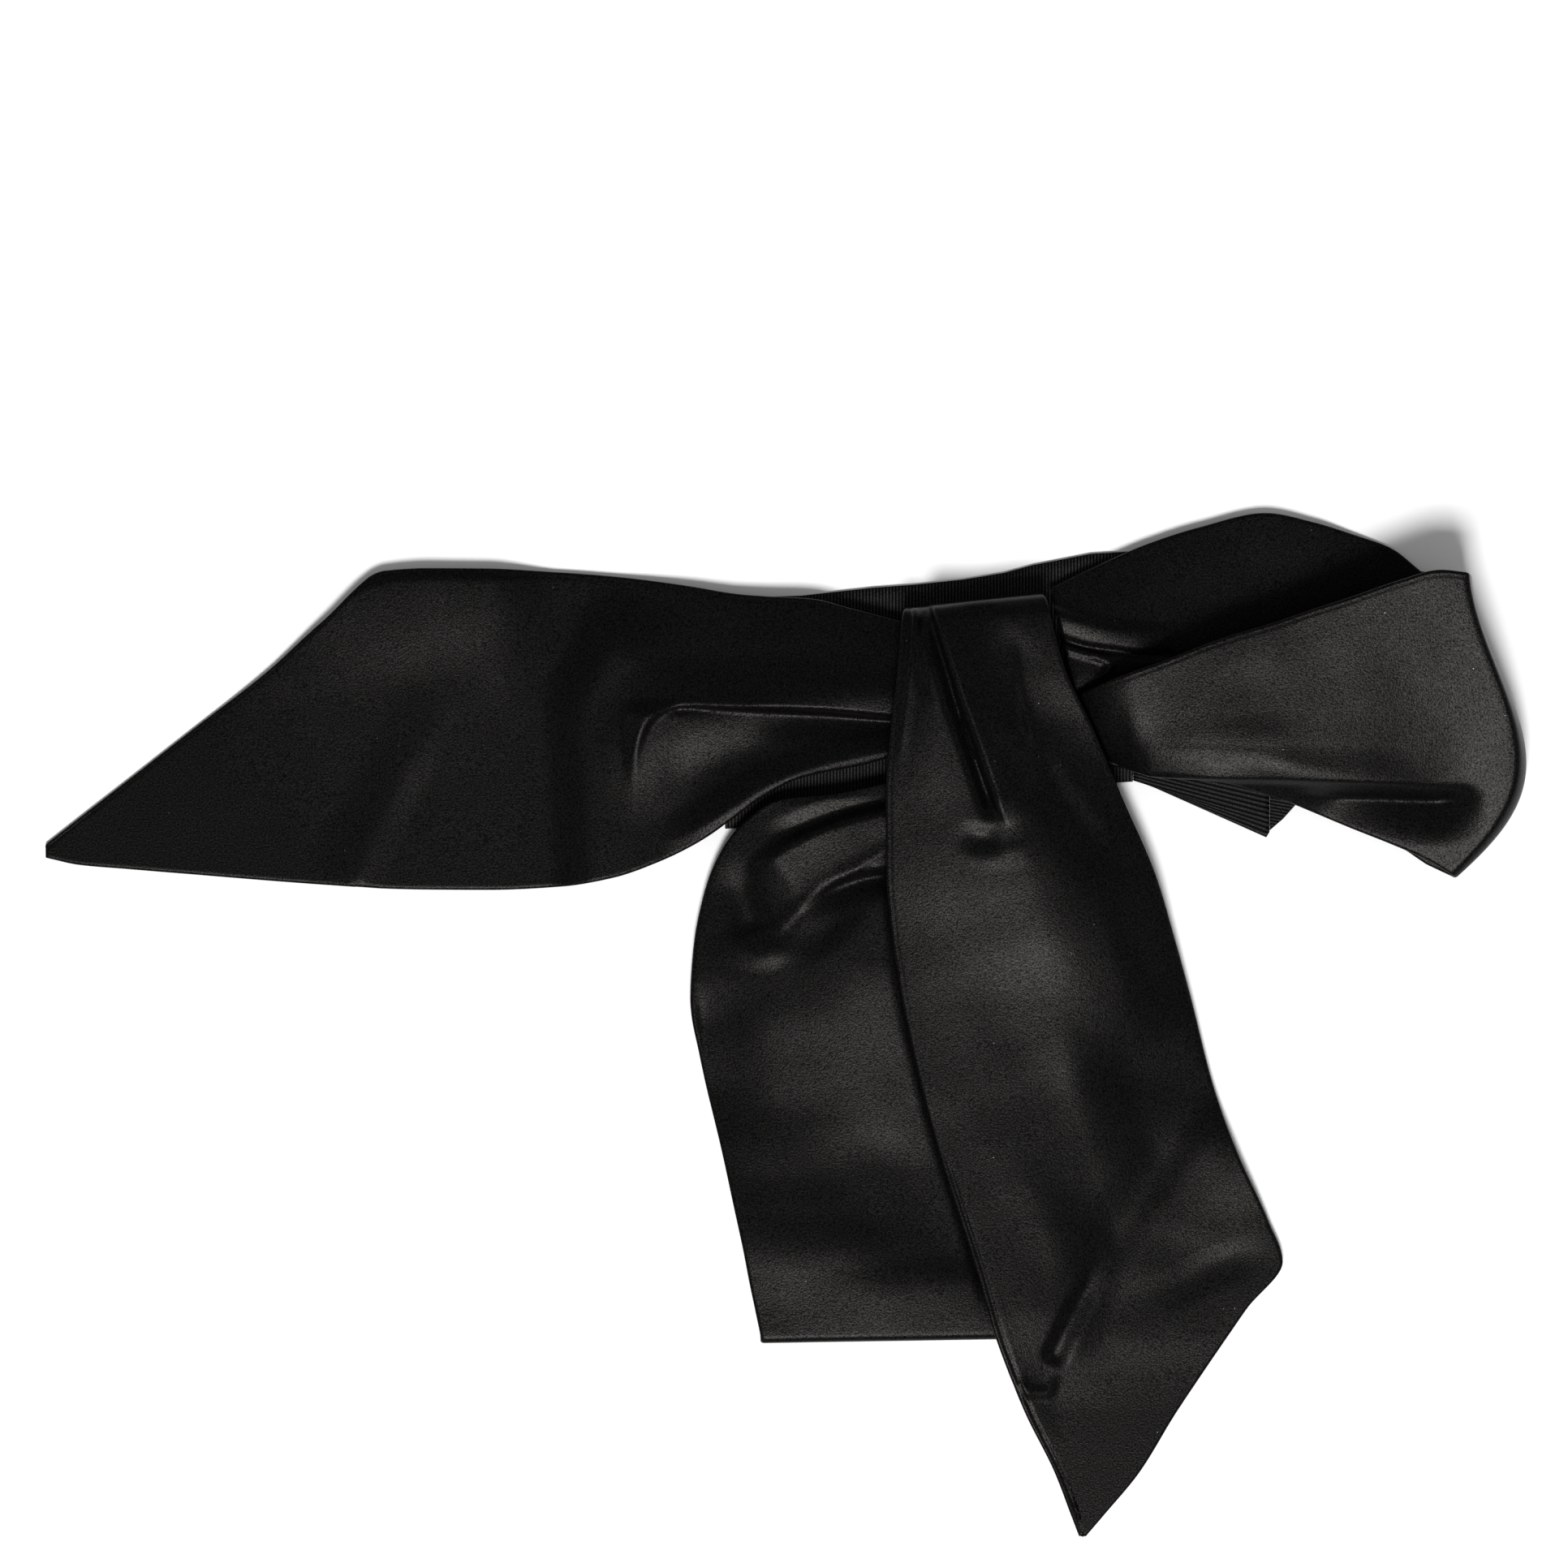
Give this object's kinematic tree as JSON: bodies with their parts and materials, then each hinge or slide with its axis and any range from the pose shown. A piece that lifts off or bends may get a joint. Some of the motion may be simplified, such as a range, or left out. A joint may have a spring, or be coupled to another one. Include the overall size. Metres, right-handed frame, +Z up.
{
  "type": "satin sash bow",
  "caption": "Black satin sash tied in a flat asymmetric bow with pointed tails and folded loops on a ribbed grosgrain band.",
  "frame": {"origin": "on the surface that the bow lies on, under the middle of its box", "axes": "+X to the right of the bow, +Y to its top, +Z up out of the surface"},
  "size_m": [0.4484, 0.3105, 0.027],
  "materials": {
    "satin": "black satin weave with a soft broad sheen",
    "grosgrain": "matt black ribbed ribbon"
  },
  "bodies": {
    "root": {"band": "grosgrain", "band_turn": "grosgrain", "band_under": "grosgrain", "knot": "satin", "left_tail": "satin", "lower_loop": "satin", "right_loop_back": "satin", "right_loop_front": "satin", "front_tail": "satin"}
  },
  "joints": []
}
